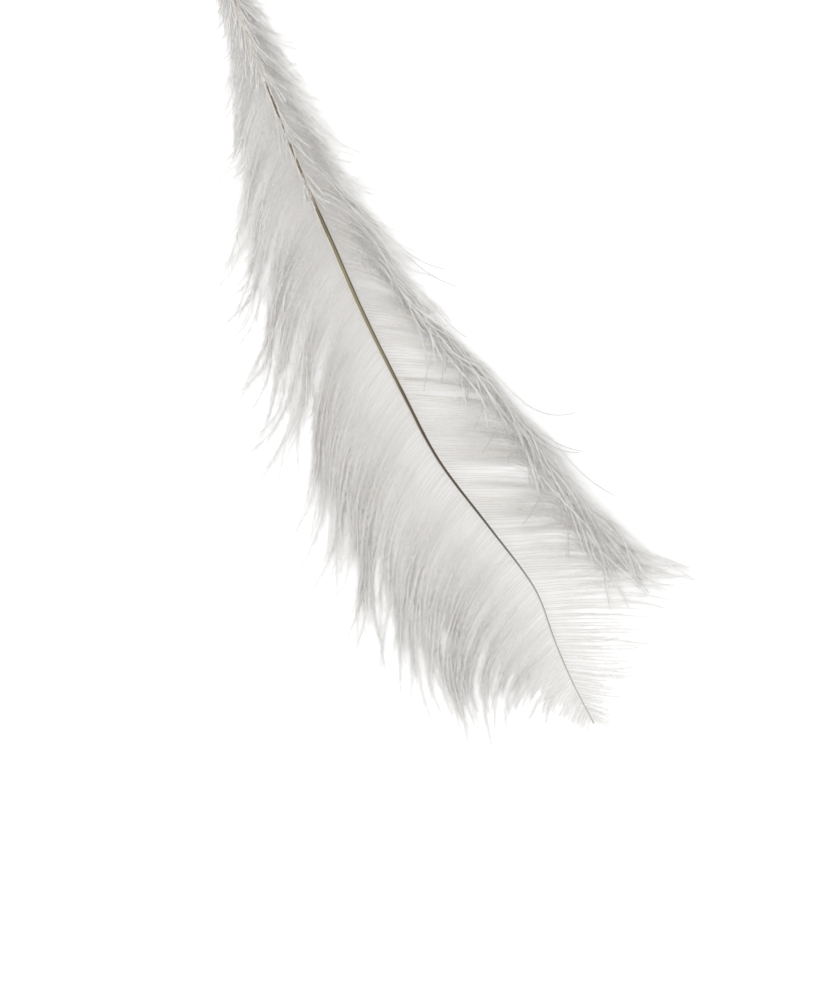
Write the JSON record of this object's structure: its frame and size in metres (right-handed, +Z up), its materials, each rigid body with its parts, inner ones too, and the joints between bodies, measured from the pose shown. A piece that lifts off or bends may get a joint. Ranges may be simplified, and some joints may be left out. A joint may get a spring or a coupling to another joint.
{
  "type": "ostrich feather",
  "caption": "Long white ostrich plume with a slim brown shaft and soft, drooping, curled barbs on both sides, lying flat.",
  "frame": {"origin": "centre of the bounding box at the surface that the feather lies on", "axes": "+X from the cut quill towards the tip, +Y towards the vane that folds over, +Z up from the surface"},
  "size_m": [0.3457, 0.1256, 0.0113],
  "materials": {
    "barbs": "matte",
    "shaft": "satin"
  },
  "bodies": {
    "root": {"feather": "barbs"}
  },
  "joints": []
}
